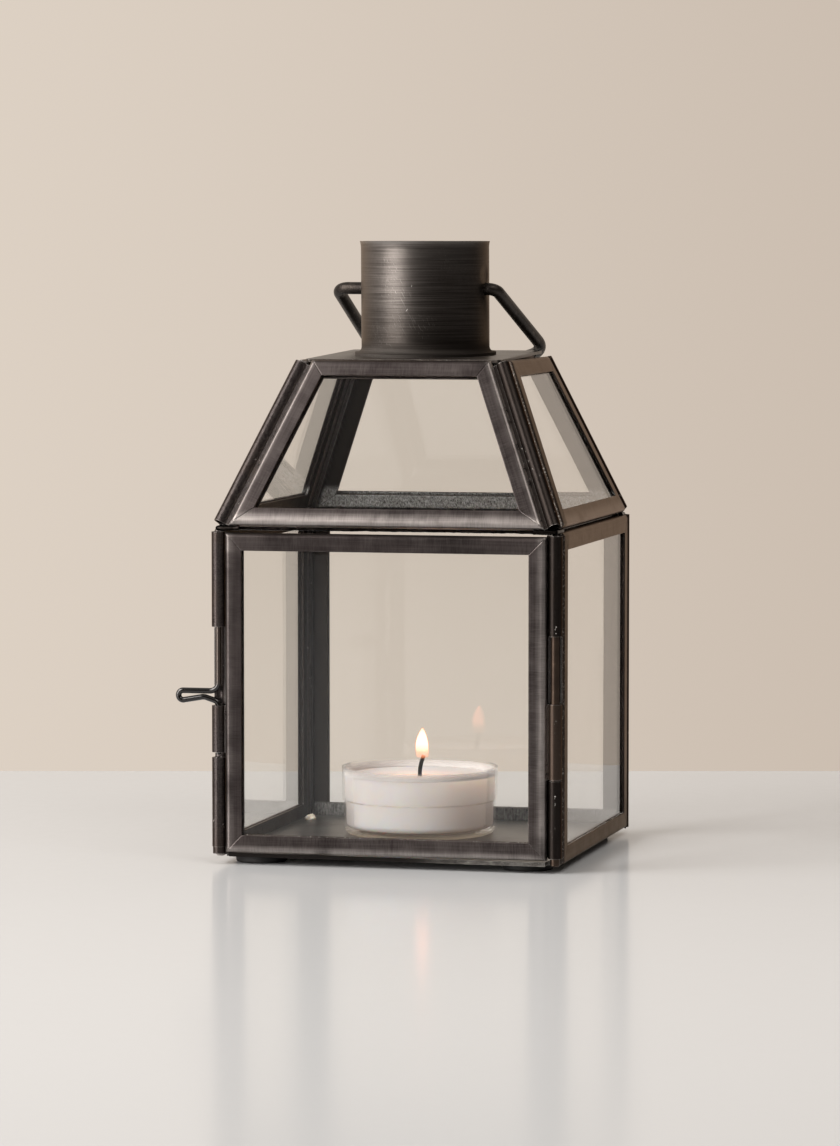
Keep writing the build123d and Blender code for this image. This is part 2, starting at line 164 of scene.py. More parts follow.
# %% Finishes
class Finish(Tree):
    """A material: patterns in metres, and one surface shader."""
    def __init__(self, name):
        self.material = bpy.data.materials.new(name)
        self.material.use_nodes = True
        super().__init__(self.material.node_tree)
        self.shader = self.tree.nodes["Principled BSDF"]
        self.place = self.node("ShaderNodeTexCoord", out="Object")
        self.facing = self.node("ShaderNodeTexCoord", out="Normal")

    def surface(self, **sockets):
        """Fill the surface shader's sockets: base_color means Base Color."""
        fixed = {"ior": "IOR", "specular_ior_level": "Specular IOR Level"}
        self.plug(self.shader, {fixed.get(k, k.replace("_", " ").title()): v for k, v in sockets.items()})
        return self.material

    def along(self, direction):
        """How far out a point lies in a direction, in metres."""
        return self.dot(self.place, direction)

    def scaled(self, scale):
        """The place with its own scale on each axis."""
        return self.node("ShaderNodeVectorMath", {"operation": "MULTIPLY"}, {0: self.place, 1: scale})

    def cloud(self, size, detail=3.0, place=None):
        """Soft irregular patches of about the given size."""
        sockets = {"Vector": place or self.place, "Scale": 1 / size, "Detail": detail}
        return self.node("ShaderNodeTexNoise", {}, sockets)

    def brushed(self, along, length, width, detail=2.0):
        """Brush marks: patches drawn out along one direction, or pressed thin if length is under width."""
        along = Vector(along).normalized()
        across = along.orthogonal().normalized()
        axes = ((along, length), (across, width), (along.cross(across), width))
        drawn = {i: self.along(axis / size) for i, (axis, size) in enumerate(axes)}
        return self.cloud(1, detail, self.node("ShaderNodeCombineXYZ", {}, drawn))

    def distance(self, point):
        return self.node("ShaderNodeVectorMath", {"operation": "DISTANCE"}, {0: self.place, 1: point}, 1)

    def slit(self, point, along, length, width):
        """1 inside a short straight mark on the front."""
        point, along = Vector(point), Vector(along).normalized()
        shares = [(self.along(axis) - point.dot(axis)) / size
                  for axis, size in ((along, length), (along.cross((0, 1, 0)), width))]
        front = self.along((0, -1, 0)).step(0.004, 0.006)
        return (1 - (shares[0] * shares[0] + shares[1] * shares[1]).step(0.5, 1.0)) * front

    def rounded(self, radius):
        """The normal as if every edge were rounded by a radius."""
        return self.node("ShaderNodeBevel", {"samples": 8}, {"Radius": radius})

    def worn(self, radius):
        """1 along the edges, where handling wears the patina off."""
        plain = self.node("ShaderNodeNewGeometry", out="Normal")
        return (1 - self.dot(self.rounded(radius), plain)).step(0.02, 0.3)

    def inside(self):
        """1 on faces that look in, towards the candle."""
        return self.dot(self.facing, self.scaled((-25, -25, 0))).step(0.15, 0.5)

    def relief(self, height, depth, round_edges=0.0):
        """Bump of a real depth in metres, over edges rounded by a radius."""
        sockets = {"Strength": 1.0, "Distance": depth, "Height": height}
        if round_edges:
            sockets["Normal"] = self.rounded(round_edges)
        return self.node("ShaderNodeBump", {}, sockets)


print("shader tools ready")

# %% [markdown]
# ## Edges of the frames
# Handling has worn the patina off the outer edges of each frame. Wear could be painted, or found from
# sharp corners, but only some of the edges are worn and they are all straight. So they are found from the
# place: how far out on its panel a point lies, and how high. On the roof the panels lean in, so there the
# limit moves in with the height.

# %% Edges of the frames
roof_half_low, roof_half_top, roof_low, roof_height = 0.04255, 0.0261, 0.08167, 0.0389
roof_inset = roof_half_low - roof_half_top
half_body, panel_half = -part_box("door_bottom_rail")[0].y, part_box("door_hinge_stile")[1].x


def frame_edges(f):
    """Masks by place: frames' sides, lower edges, the roof's rims for a painted highlight, whole stiles,
    right-hand panels.
    """
    x, y, z = (f.along(axis) for axis in ((1, 0, 0), (0, 1, 0), (0, 0, 1)))
    above = z - roof_low
    outward = x.size().least(y.size()) + above.most(0.0) * (roof_inset / roof_height) - panel_half
    sides, stiles = outward.step(-0.00291, -0.00031), outward.step(-0.00561, -0.00461)
    eaves = (1 - above.step(0.00083, 0.00333)) * above.step(-0.00127, -0.00067)
    feet = eaves.most(1 - z.step(0.0033, 0.0052))
    front_or_back = (y.size() - x.size()).step(0.0, 0.001)
    rim_highlight = outward.step(-0.00131, -0.00071) * above.step(-0.00107, -0.00047) * front_or_back
    return sides, feet, rim_highlight, stiles, (x - y.size()).step(0.0, 0.0006)


print("panels reach out to", round(panel_half, 5), "m, and the roof leans in by", round(roof_inset, 5), "m")

# %% [markdown]
# ## Dark zinc strip
# The strip is zinc, darkened in a patina bath and then rubbed by hand, mostly across its width. The
# colour is almost black with a trace of purple, lighter where the rubbing cut through, and nearly bare
# along the outer edges of each frame; along the outer rims of the roof's front and back frames a
# near-white metal paints in a highlight. Faces that look in were never rubbed: they stay brown-black,
# and the rails at the back carry the grey mottling of the bath, painted lighter on their inner faces as
# light from the front, with bright specks. On the right-hand panels a browner colour is a painted
# reflection of the warm room, and near-black painted shade lies low down, along their sides and on their
# front stiles. One function writes the finish for a direction, because a mark must follow its own strip.

# %% Strip finish
def zinc_strip(name, along):
    f = Finish(name)
    long_marks = f.brushed(along, 0.016, 0.00026)
    hatch, fine_hatch = f.brushed(along, 0.00032, 0.0045), f.brushed(along, 0.00016, 0.0022)
    patina, spots, mottle = f.cloud(0.016, 4), f.cloud(0.0021, 3), f.cloud(0.0007, 4)
    inner = f.inside()
    height = f.along((0, 0, 1))
    top_rails = height.step(0.0745, 0.0755) * 0.3 + height.step(0.0805, 0.0815) * 0.35
    handled = f.along((7, 0, -6)).step(-0.55, 0.15).most(top_rails)
    rub = (long_marks * 0.25 + hatch * 0.15 + fine_hatch * 0.25 + f.cloud(0.006, 3) * 0.35).step(0.32, 0.70)
    dark = f.mix(patina.step(0.3, 0.7), (0.022, 0.0175, 0.0175, 1), (0.050, 0.0405, 0.0395, 1))
    outer = f.mix(rub * (0.16 + 0.40 * handled), dark, (0.170, 0.148, 0.141, 1))
    sides, foot, rim_highlight, stiles, right = frame_edges(f)
    bare = (sides * (0.12 + 0.80 * handled) * (1 - right)).most(foot) * (0.5 + 0.5 * rub)
    outer = f.mix(bare * f.cloud(0.008, 3).step(0.18, 0.5) * 0.9, outer, (0.46, 0.42, 0.40, 1))
    # Painted highlight: a near-white metal along the outer rims of the roof's front and back frames.
    outer = f.mix(rim_highlight * f.cloud(0.006, 3).step(0.3, 0.55) * 0.85, outer, (0.85, 0.81, 0.77, 1))
    edge = f.worn(0.0004) * f.cloud(0.005, 3).step(0.45, 0.7)
    outer = f.mix(edge * 0.5, outer, (0.36, 0.33, 0.31, 1))
    # Painted reflection and shade on the right-hand panels: browner for the warm room they reflect, and
    # near-black low down, along their sides and on their front stiles.
    near = f.along((0, -1, 0)).step(0.02, 0.025)
    right_panel_shade = right * (1 - height.step(0.004, 0.02)).most(sides * 0.75).most(near * stiles)
    outer = f.mix(right_panel_shade * 0.8, f.mix(right * 0.5, outer, (0.210, 0.166, 0.135, 1)), (0.014, 0.0105, 0.008, 1))
    speckle = f.cloud(0.00042, 1).step(0.58, 0.66) * sides * right
    outer = f.mix(speckle * 0.4, outer, (0.42, 0.40, 0.38, 1))
    # Painted light: the front-facing inner faces of the back rails turn light grey in streaks, with bright
    # specks; the rest of the inside keeps its dark patina.
    lit_back_rails = (1 - height.step(0.0852, 0.0872)) * height.step(0.078, 0.081)
    lit_back_rails = (lit_back_rails + (1 - height.step(0.0058, 0.0066)) * 0.45) * f.dot(f.facing, (0, -1, 0)).step(0.4, 0.7)
    streaks = f.brushed((0, 0, 1), 0.0030, 0.00022) * 0.6 + mottle * 0.4
    inner_patina_and_light = f.mix(lit_back_rails * streaks.step(0.25, 0.75), (0.0150, 0.0120, 0.0105, 1), (0.48, 0.485, 0.475, 1))
    inner_patina_and_light = f.mix(f.cloud(0.00028, 1).step(0.64, 0.72) * (0.04 + 0.36 * lit_back_rails), inner_patina_and_light, (0.55, 0.54, 0.52, 1))
    rough = 0.24 + rub * 0.12 + spots * 0.10 + inner * 0.16
    height_map = long_marks * 0.25 + hatch * 0.2 + fine_hatch * 0.25 + mottle * inner * 0.4
    return f.surface(
        base_color=f.mix(inner, outer, inner_patina_and_light), metallic=0.92, roughness=rough,
        specular_tint=(0.72, 0.62, 0.54, 1), normal=f.relief(height_map, 0.000016, 0.0003),
    )


print("strip finish ready")

# %% [markdown]
# ## Which way a strip runs
# A rail lies across, a stile stands up, and a stile of the roof climbs along its hip: seven directions in
# all. Unwrapping every strip would also turn the marks, but it takes a seam for each. Here the direction
# comes from the node's own box, and strips that run the same way share a material. A second helper gives
# CAD nodes their finish.

# %% Strips
def dress(names, finish):
    """Give CAD nodes a finish."""
    for name in names:
        nodes[name].material_slots[0].material = finish


def strip_direction(name):
    """The direction that a strip runs in: along its longest side, or up its hip on the roof."""
    low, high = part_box(name)
    if "roof" in name and "stile" in name:
        middle = low + high
        return tuple(round(-v * roof_inset / abs(v), 5) for v in middle[:2]) + (roof_height,)
    longest = max(range(3), key=lambda i: high[i] - low[i])
    return tuple(float(i == longest) for i in range(3))


finishes = {}
strips = [n for n in nodes if n.endswith(("_rail", "_stile"))]
for name in strips:
    run = strip_direction(name)
    if run not in finishes:
        finishes[run] = zinc_strip(f"zinc_strip_{len(finishes)}", run)
    dress([name], finishes[run])
print(len(strips), "strips in", len(finishes), "directions")

# %% [markdown]
# ## Rolled tubes
# The corner tubes are rolled from the same sheet. They were rubbed round rather than along, which leaves
# a fine slanting hatch, and solder has crept onto them in bright freckles. A tube is too thin for broad
# patches, so the patterns are finer than on the strips. The tubes on the hinge side, to the right, are
# made nearly black; the door's own knuckle has gone brown with turning.

# %% Tube finish
def rolled_tube(name, deep):
    f = Finish(name)
    hatch = f.brushed((1, 1, 0.35), 0.0030, 0.00020)
    slant = f.brushed((1, -1, 0.45), 0.0024, 0.00026)
    length_marks = f.brushed((0, 0, 1), 0.012, 0.0004)
    patina = f.cloud(0.008, 4)
    freckle = f.cloud(0.0010, 2).step(0.70, 0.76) * f.cloud(0.012, 2).step(0.5, 0.62)
    edge = f.worn(0.0003)
    rub = (hatch * 0.4 + slant * 0.3 + length_marks * 0.3).step(0.35, 0.7)
    base = f.mix(rub, (0.028, 0.023, 0.023, 1), (0.095, 0.082, 0.078, 1))
    base = f.mix(patina.step(0.45, 0.75) * 0.6, base, (0.060, 0.045, 0.037, 1))
    # Tubes on the right-hand side are made nearly black.
    hinge_side = f.along((1, 0, 0)).step(0.0, 0.02)
    base = f.mix(hinge_side * 0.8, base, deep)
    base = f.mix((freckle + edge * 0.6).least(1.0), base, (0.50, 0.47, 0.45, 1))
    return f.surface(
        base_color=base, metallic=0.92, roughness=0.27 + rub * 0.12 + patina * 0.1,
        specular_tint=(0.55, 0.45, 0.38, 1), normal=f.relief(hatch * 0.5 + slant * 0.4 + freckle, 0.00002),
    )


tubes = [n for n in nodes if n.endswith(("_tube", "_tubes", "_sleeve", "_knuckle"))]
dress(tubes, rolled_tube("rolled_tube", deep=(0.012, 0.0095, 0.008, 1)))
dress(["door_hinge_knuckle"], rolled_tube("browned_knuckle", deep=(0.058, 0.041, 0.031, 1)))
print(len(tubes), "tube nodes")

# %% [markdown]
# ## Chimney
# The chimney was spun on a lathe, so every mark on it runs round. The rim and the edge of the foot are
# rubbed lighter, the inside is sooty, and years of use have left slanting scratches, two bright nicks and
# a dent beside the right-hand hole. Painted shade darkens the right side and the lower part, and painted
# light brightens the left side and the upper part. Rings need no angle: a pattern that is long in X and Y
# and thin in Z already runs round.

# %% Chimney finish
def spun_chimney():
    f = Finish("spun_chimney")
    low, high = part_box("chimney")
    ring_scales = ((30, 30, 1800), (50, 50, 6500), (90, 90, 14000))
    broad, rings, fine = (f.cloud(1, 2, f.scaled(scale)) for scale in ring_scales)
    patina = f.cloud(0.012, 4)
    scratch = f.brushed((0.55, 0, -1), 0.006, 0.00016, 1).step(0.64, 0.70) * f.cloud(0.009, 2).step(0.46, 0.6)
    nicks = f.slit((0.0003, -0.0156, 0.1379), (0.3, 0, 1), 0.0003, 0.00010)
    nicks = nicks.most(f.slit((-0.0009, -0.0156, 0.1321), (0.8, 0, 1), 0.0005, 0.00010))
    dent = 1 - f.distance((0.0153, -0.0028, 0.1405)).step(0.0004, 0.0030)
    height = f.along((0, 0, 1))
    foot_edge = 1 - height.step(low.z + 0.0010, low.z + 0.0030)
    rubbed = height.step(high.z - 0.0009, high.z - 0.0002) + foot_edge * 0.5
    ring_tone = (broad * 0.12 + rings * 0.5 + fine * 0.38).step(0.35, 0.67)
    base = f.mix(ring_tone, (0.038, 0.033, 0.030, 1), (0.190, 0.171, 0.159, 1))
    base = f.mix(patina.step(0.5, 0.8) * 0.5, base, (0.050, 0.039, 0.031, 1))
    bright = (scratch * 0.28 + nicks * 0.8 + rubbed * 0.3).least(1.0)
    base = f.mix(bright, base, (0.55, 0.52, 0.49, 1))
    soot = f.inside()
    base = f.mix(soot * 0.8, base, (0.018, 0.016, 0.014, 1))
    foot = 1 - height.step(low.z + 0.0015, low.z + 0.0045)
    # Painted shade: the right side is darkened, and low down more of it.
    right = f.along((1, 0, 0)).step(-0.006, 0.008)
    low_right_shade = (1 - height.step(low.z, low.z + 0.022)) * (0.35 + 0.5 * right)
    base = f.mix(low_right_shade.most(right * 0.72), base, (0.014, 0.011, 0.009, 1))
    # Painted light on the left side and towards the top; painted shade at the bottom.
    base = f.mix(f.along((-1, 0, 0)).step(0.004, 0.015) * 0.4, base, (0.23, 0.205, 0.188, 1))
    base = f.mix(height.step(low.z + 0.014, high.z) * 0.10, base, (0.26, 0.235, 0.22, 1))
    base = f.mix((1 - height.step(low.z + 0.002, low.z + 0.018)) * 0.35, base, (0.016, 0.013, 0.011, 1))
    rough = 0.32 + ring_tone * 0.08 + patina * 0.06 + (soot * 0.25).most(foot * 0.3)
    relief = rings * 0.5 + fine * 0.5 + scratch * 0.5 - nicks * 2 - dent * 20
    return f.surface(
        base_color=base, metallic=0.92, roughness=rough, specular_tint=(0.80, 0.70, 0.61, 1),
        normal=f.relief(relief, 0.00002),
    )


dress(["chimney"], spun_chimney())

# %% [markdown]
# ## Plates
# The square plate under the chimney and the base plate are plain sheet. The top one has the brown bloom
# of heat. The base is the lightest metal here: grey zinc with crossing scratches from every tealight that
# was ever pushed over it, and small pale specks of old wax. A flat grey would mirror the room like new
# tin. So one recipe for both breaks the mirror up with marks in three directions, and only its colours
# and specks differ.

# %% Plate finishes
def sheet_metal(name, deep, pale, bloom, speck_share, dark_front):
    """Zinc sheet. Further forward than `dark_front` metres, its left part is painted dark as shade."""
    f = Finish(name)
    along, over = f.brushed((1, 0.2, 0), 0.018, 0.0004), f.brushed((0.3, 1, 0), 0.014, 0.0004)
    patina, mottle = f.cloud(0.012, 4), f.cloud(0.0016, 3)
    scratch = f.brushed((1, 0.7, 0), 0.016, 0.00024, 1).step(0.69, 0.74)
    speck = f.cloud(0.0009, 1).step(0.74, 0.78) * speck_share
    tone = (along * 0.35 + over * 0.25 + mottle * 0.4).step(0.32, 0.7)
    base = f.mix(tone, deep, pale)
    base = f.mix(patina.step(0.45, 0.75) * 0.5, base, bloom)
    base = f.mix((scratch * 0.4 + f.worn(0.0005) * 0.3 + speck).least(1.0), base, (0.55, 0.53, 0.5, 1))
    shaded = f.along((0, -1, 0)).step(dark_front, dark_front + 0.001)
    shaded = shaded * (1 - f.along((1, 0, 0)).step(0.004, 0.024))
    base = f.mix(shaded, base, (0.012, 0.010, 0.009, 1))
    return f.surface(
        base_color=base, metallic=0.9, roughness=0.26 + tone * 0.12 + patina * 0.1,
        normal=f.relief(along * 0.4 + mottle * 0.5 - scratch * 0.5, 0.00002),
    )


dress(["top_plate"], sheet_metal(
    "top_plate_zinc", (0.050, 0.042, 0.038, 1), (0.150, 0.130, 0.115, 1), bloom=(0.085, 0.062, 0.046, 1),
    speck_share=0.0, dark_front=1.0))
dress(["base_plate"], sheet_metal(
    "base_plate_zinc", (0.060, 0.055, 0.050, 1), (0.215, 0.205, 0.192, 1), bloom=(0.085, 0.070, 0.058, 1),
    speck_share=0.9, dark_front=0.0385))
print("plates done")

# %% [markdown]
# ## Wires
# The bail is thick wire with the scale of the fire still on it, dark and pitted. The latch is thinner and
# dipped in gloss black, so it carries sharp lights. The hinge pin is bare steel gone brown. All three are
# one recipe with other numbers: a base, a bloom, pits, how smooth the skin is, and where sliding in a
# tube has browned it.

# %% Wire finishes
def wire_metal(name, base, bloom, rough, pit_size, pit_depth, coat, rubbed=(1, 2)):
    """Wire, browned between two heights: as a rule none, because one metre lies above the lantern."""
    f = Finish(name)
    pits, patina = f.cloud(pit_size, 3), f.cloud(0.006, 4)
    rub = f.cloud(0.0022, 3).step(0.6, 0.78)
    tone = f.mix(patina.step(0.35, 0.75), base, bloom)
    tone = f.mix(rub * 0.35, tone, tuple(min(1, 3.2 * c) for c in bloom[:3]) + (1,))
    height = f.along((0, 0, 1))
    slid = height.step(rubbed[0], rubbed[0] + 0.002) * (1 - height.step(rubbed[1] - 0.002, rubbed[1]))
    tone = f.mix(slid, tone, (0.055, 0.037, 0.027, 1))
    return f.surface(
        base_color=tone, metallic=0.9, roughness=rough + (pits - 0.5) * 0.3 * rough,
        normal=f.relief(pits, pit_depth), coat_weight=coat, coat_roughness=0.08,
    )


dress(["bail"], wire_metal(
    "scaled_wire", (0.024, 0.020, 0.018, 1), (0.052, 0.043, 0.037, 1),
    rough=0.42, pit_size=0.00045, pit_depth=0.00006, coat=0.0))
dress(["latch_wire"], wire_metal(
    "gloss_black_wire", (0.010, 0.009, 0.009, 1), (0.018, 0.015, 0.014, 1),
    rough=0.20, pit_size=0.0008, pit_depth=0.00001, coat=1.0, rubbed=(0.0425, 0.066)))
dress(["hinge_pin"], wire_metal(
    "browned_pin", (0.042, 0.029, 0.022, 1), (0.080, 0.055, 0.040, 1),
    rough=0.36, pit_size=0.0004, pit_depth=0.00002, coat=0.0))
print("wires done")

# %% [markdown]
# ## Glass
# Thin picture glass, clear, a trace grey. A pane is a real slab here, so it bends light at both faces.
# Old glass is never quite flat, and fingers leave it a little less clear in places, so a slow wave goes
# into the normal and faint smears into the roughness. Light must still reach the candle, so neither the
# panes nor the tealight's clear cup throw a shadow: a real pane throws almost none, and tracing bent
# light through it would only add noise.

# %% Glass finish
def pane_glass():
    f = Finish("pane_glass")
    smear = f.cloud(0.018, 5).step(0.52, 0.8)
    wave = f.cloud(0.035, 1)
    return f.surface(
        base_color=(0.984, 0.985, 0.977, 1), roughness=smear * 0.035, transmission_weight=1.0, ior=1.45,
        normal=f.relief(wave, 0.00006),
    )


panes = [n for n in nodes if n.endswith("_glass")]
dress(panes, pane_glass())
for name in panes + ["tealight_cup"]:
    nodes[name].visible_shadow = nodes[name].visible_diffuse = False
print(len(panes), "panes")

# %% [markdown]
# ## Pads
# Four discs of black rubber keep the sheet off the table. A plain black would read as a hole under the
# lantern, so the rubber has a fine grain and a trace of dust, which catch a little light along its edge.

# %% Pad finish
def pad_rubber():
    f = Finish("pad_rubber")
    grain, dust = f.cloud(0.0004, 3), f.cloud(0.004, 4).step(0.55, 0.8)
    return f.surface(
        base_color=f.mix(dust * 0.3, (0.010, 0.009, 0.009, 1), (0.050, 0.046, 0.042, 1)),
        roughness=0.55 + grain * 0.2, normal=f.relief(grain, 0.00003),
    )


dress(["foot_pads"], pad_rubber())
print("pads done")

# %% [markdown]
# ## Cup of the tealight
# The cup is clear moulded plastic with rings left by the mould. Traced as a full refracting shell, so
# thin a wall round white wax mostly shows dark edges. So it bends light only a little and most of it is
# left out by alpha, less so at the rim and at the heel, where the plastic is thick and a little yellow.

# %% Cup finish
tealight_low, tealight_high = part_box("tealight_cup")


def cup_plastic():
    f = Finish("cup_plastic")
    rings = f.cloud(1, 2, f.scaled((20, 20, 900)))
    haze = f.cloud(0.006, 4)
    height = f.along((0, 0, 1))
    heel = 1 - height.step(tealight_low.z + 0.0004, tealight_low.z + 0.0016)
    rim = height.step(tealight_high.z - 0.003, tealight_high.z - 0.0006)
    # The heel has a faint warm emission: painted glow for light carried through the thick plastic.
    return f.surface(
        base_color=f.mix(heel, (0.985, 0.982, 0.978, 1), (0.93, 0.87, 0.77, 1)),
        roughness=0.03 + haze * 0.05 + heel * 0.35, transmission_weight=1.0, ior=1.11,
        normal=f.relief(rings, 0.000012), alpha=0.28 + 0.30 * rim + heel * 0.3,
        emission_color=f.mix(heel, (0, 0, 0, 1), (0.075, 0.056, 0.036, 1)), emission_strength=1.0,
    )


dress(["tealight_cup"], cup_plastic())
print("cup from", [round(v, 4) for v in tealight_low], "to", [round(v, 4) for v in tealight_high])

# %% [markdown]
# ## Wax
# The wax glows where the flame shines into it. A lamp inside the flame could light it, but light in a
# scattering body takes many samples to settle. So the wax scatters what falls on it and has a warm
# emission of its own that fades out from the wick. Its right side is painted browner as shade low down,
# with more painted glow high up; its left side is painted darker low down as shade; and painted glow
# lightens its step in places.

# %% Wax finish
wick_foot = (tealight_low + tealight_high) / 2
wax_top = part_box("tealight_wax")[1].z


def wax():
    f = Finish("white_wax")
    bloom, grain = f.cloud(0.007, 4), f.cloud(0.0009, 3)
    from_wick = f.distance((wick_foot.x, wick_foot.y, wax_top + 0.002))
    glow = 1 - from_wick.step(0.002, 0.016)
    pool = 1 - from_wick.step(0.004, 0.010)
    aside, height = f.along((1, 0, 0)), f.along((0, 0, 1))
    upper = height.step(tealight_low.z + 0.003, wax_top)
    # Painted shade and glow on the right: browner low down, more warm emission high up.
    right_shade_and_glow = aside.step(wick_foot.x + 0.001, wick_foot.x + 0.019) * (0.7 + bloom * 0.6)
    # Painted shade: the left side is darker, most of all low down.
    left_low_shade = (1 - aside.step(wick_foot.x - 0.018, wick_foot.x - 0.010)) * (0.85 - 0.50 * upper)
    # Painted light: warm glow on the downward faces of the step just above the heel.
    above_heel = height.step(tealight_low.z + 0.006, tealight_low.z + 0.007)
    lit_ledge = f.dot(f.facing, (0, 0, -1)).step(0.2, 0.5) * above_heel
    white = f.mix(bloom, (0.80, 0.795, 0.795, 1), (0.86, 0.858, 0.857, 1))
    white = f.mix(right_shade_and_glow * (0.62 - 0.40 * upper), white, (0.58, 0.47, 0.39, 1))
    lit = f.mix(right_shade_and_glow * upper, (0.15, 0.095, 0.072, 1), (0.52, 0.40, 0.32, 1))
    lit = f.mix(lit_ledge * bloom.step(0.35, 0.65), lit, (0.55, 0.47, 0.42, 1))
    return f.surface(
        base_color=f.mix(left_low_shade, white, (0.20, 0.18, 0.17, 1)),
        roughness=0.42 + grain * 0.15 - pool * 0.25, normal=f.relief(bloom + grain * 0.2, 0.00008),
        subsurface_weight=0.85, subsurface_radius=(1.0, 0.72, 0.5), subsurface_scale=0.006,
        emission_color=f.mix(glow, lit, (1.0, 0.50, 0.27, 1)), emission_strength=0.42,
    )


dress(["tealight_wax"], wax())
print("wax round", [round(v, 4) for v in wick_foot], "with its top at", round(wax_top, 4))

# %% [markdown]
# ## Wick and tab
# The wick is charred cotton with an ember at its tip, and the tab that holds it is tinned sheet, hidden
# in the wax. The twist of the cord could be modelled strand by strand; at a millimetre across, a relief
# that runs up and round is enough.

# %% Wick and tab finishes
def wick_cord():
    f = Finish("charred_wick")
    twist = f.brushed((0.6, 0.3, 1), 0.0030, 0.00030)
    ash = f.cloud(0.0005, 3)
    ember = f.along((0, 0, 1)).step(wax_top + 0.0036, wax_top + 0.0050)
    return f.surface(
        base_color=f.mix(ash.step(0.6, 0.85), (0.005, 0.004, 0.003, 1), (0.030, 0.022, 0.018, 1)),
        roughness=0.9, specular_ior_level=0.1, normal=f.relief(twist + ash * 0.5, 0.00015),
        emission_color=f.mix(ember, (0, 0, 0, 1), (1.0, 0.22, 0.04, 1)), emission_strength=0.8,
    )


def tab_tin():
    f = Finish("tinned_tab")
    spangle, marks = f.cloud(0.0014, 2), f.brushed((1, 0.3, 0), 0.006, 0.0002)
    return f.surface(
        base_color=f.mix(spangle, (0.45, 0.45, 0.43, 1), (0.68, 0.68, 0.66, 1)), metallic=0.95,
        roughness=0.25 + marks * 0.2, normal=f.relief(marks, 0.00001),
    )


dress(["tealight_wick"], wick_cord())
dress(["tealight_wick_tab"], tab_tin())
print("wick and tab done")

# %% [markdown]
# ## Where the frames meet
# A frame is four strips cut at an angle and soldered at the corners. To lay solder there, the lesson
# needs the lines of the mitres. Each panel is a flat outline in its own plane, so the same small sum
# gives the corner and the point one strip further in, on the outer and on the inner face.

# %% Outlines of the panels
strip_face, strip_depth, hip_back = 0.0042, 0.0030, 0.0042
panel_low, panel_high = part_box("back_left_stile")[0].z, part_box("back_left_stile")[1].z
door_low, door_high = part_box("door_hinge_stile")[0].z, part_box("door_hinge_stile")[1].z
roof_lean, roof_slant = atan2(roof_inset, roof_height), hypot(roof_inset, roof_height)


def upright(low, high):
    return [(-panel_half, low), (panel_half, low), (panel_half, high), (-panel_half, high)]


def panel(turn, outline, lean=0.0, foot=(half_body, 0.0)):
    """Corners of a panel, the same points one strip in, and the panel's outward direction."""
    level = Vector((sin(turn), -cos(turn), 0))
    along = Vector((cos(turn), sin(turn), 0))
    outwards = level * cos(lean) + Vector((0, 0, sin(lean)))
    up = outwards.cross(along)
    origin = level * foot[0] + Vector((0, 0, foot[1]))
    points = [Vector(p) for p in outline]
    inner = []
    for i, here in enumerate(points):
        one, two = (here - points[i - 1]).normalized(), (points[(i + 1) % 4] - here).normalized()
        inner.append(here + (two - one) * strip_face / (one.x * two.y - one.y * two.x))
    lift = [[origin + along * p.x + up * p.y for p in group] for group in (points, inner)]
    return lift[0], lift[1], outwards


low, top = roof_half_low - hip_back, roof_half_top - hip_back
roof_outline = [(-low, 0), (low, 0), (top, roof_slant), (-top, roof_slant)]
roof_place = roof_half_low, roof_low
panels = {"door": [panel(0, upright(door_low, door_high))]}
panels["lantern"] = [panel(radians(a), upright(panel_low, panel_high)) for a in (90, 180, 270)]
panels["lantern"] += [panel(radians(a), roof_outline, roof_lean, roof_place) for a in (0, 90, 180, 270)]
print({body: len(group) for body, group in panels.items()})

# %% [markdown]
# ## Trees that grow pieces
# Solder, drops and crumbs repeat by the hundred along the seams. A loop in Python could place them one by
# one, but a Geometry Nodes tree takes all the lines at once and gives one mesh back. Three helpers start
# such a tree, end it, and make the noise that keeps the copies from looking alike.

# %% Helpers for trees
def geometry_tree(name, inputs):
    """An empty Geometry Nodes tree with named inputs; returns it and its input values."""
    group = bpy.data.node_groups.new(name, "GeometryNodeTree")
    group.interface.new_socket("Geometry", in_out="OUTPUT", socket_type="NodeSocketGeometry")
    for label, kind in {"Geometry": "Geometry", **inputs}.items():
        group.interface.new_socket(label, in_out="INPUT", socket_type=f"NodeSocket{kind}")
    tree = Tree(group)
    start = group.nodes.new("NodeGroupInput")
    return tree, {socket.name: Value(tree, socket) for socket in start.outputs if socket.name}


def end_tree(tree, geometry, material):
    """Realize the instances, set the material, and close the tree."""
    whole = tree.node("GeometryNodeRealizeInstances", {}, {"Geometry": geometry})
    whole = tree.node("GeometryNodeSetShadeSmooth", {}, {"Geometry": whole})
    whole = tree.node("GeometryNodeSetMaterial", {}, {"Geometry": whole, "Material": material})
    tree.node("NodeGroupOutput", {}, {"Geometry": whole})
    return tree.tree


def scatter(tree, size, seed, reach):
    """A noise vector of about the given reach."""
    position = tree.node("GeometryNodeInputPosition")
    patch = {"Vector": position, "W": seed, "Scale": 1 / size, "Detail": 1.0}
    colour = tree.node("ShaderNodeTexNoise", {"noise_dimensions": "4D"}, patch, "Color")
    middle = tree.node("ShaderNodeVectorMath", {"operation": "SUBTRACT"}, {0: colour, 1: (0.5, 0.5, 0.5)})
    return tree.node("ShaderNodeVectorMath", {"operation": "SCALE"}, {0: middle, "Scale": reach})


print("helpers for trees ready")

# %% [markdown]
# ## Bead
# Solder runs into a mitre and sets as a low bead, never quite even. Over sixty such beads by hand would
# all look alike, so one tree lays them all: each line is cut into short steps, each step is pushed aside
# and thickened a little by noise, and a round section is drawn along it.

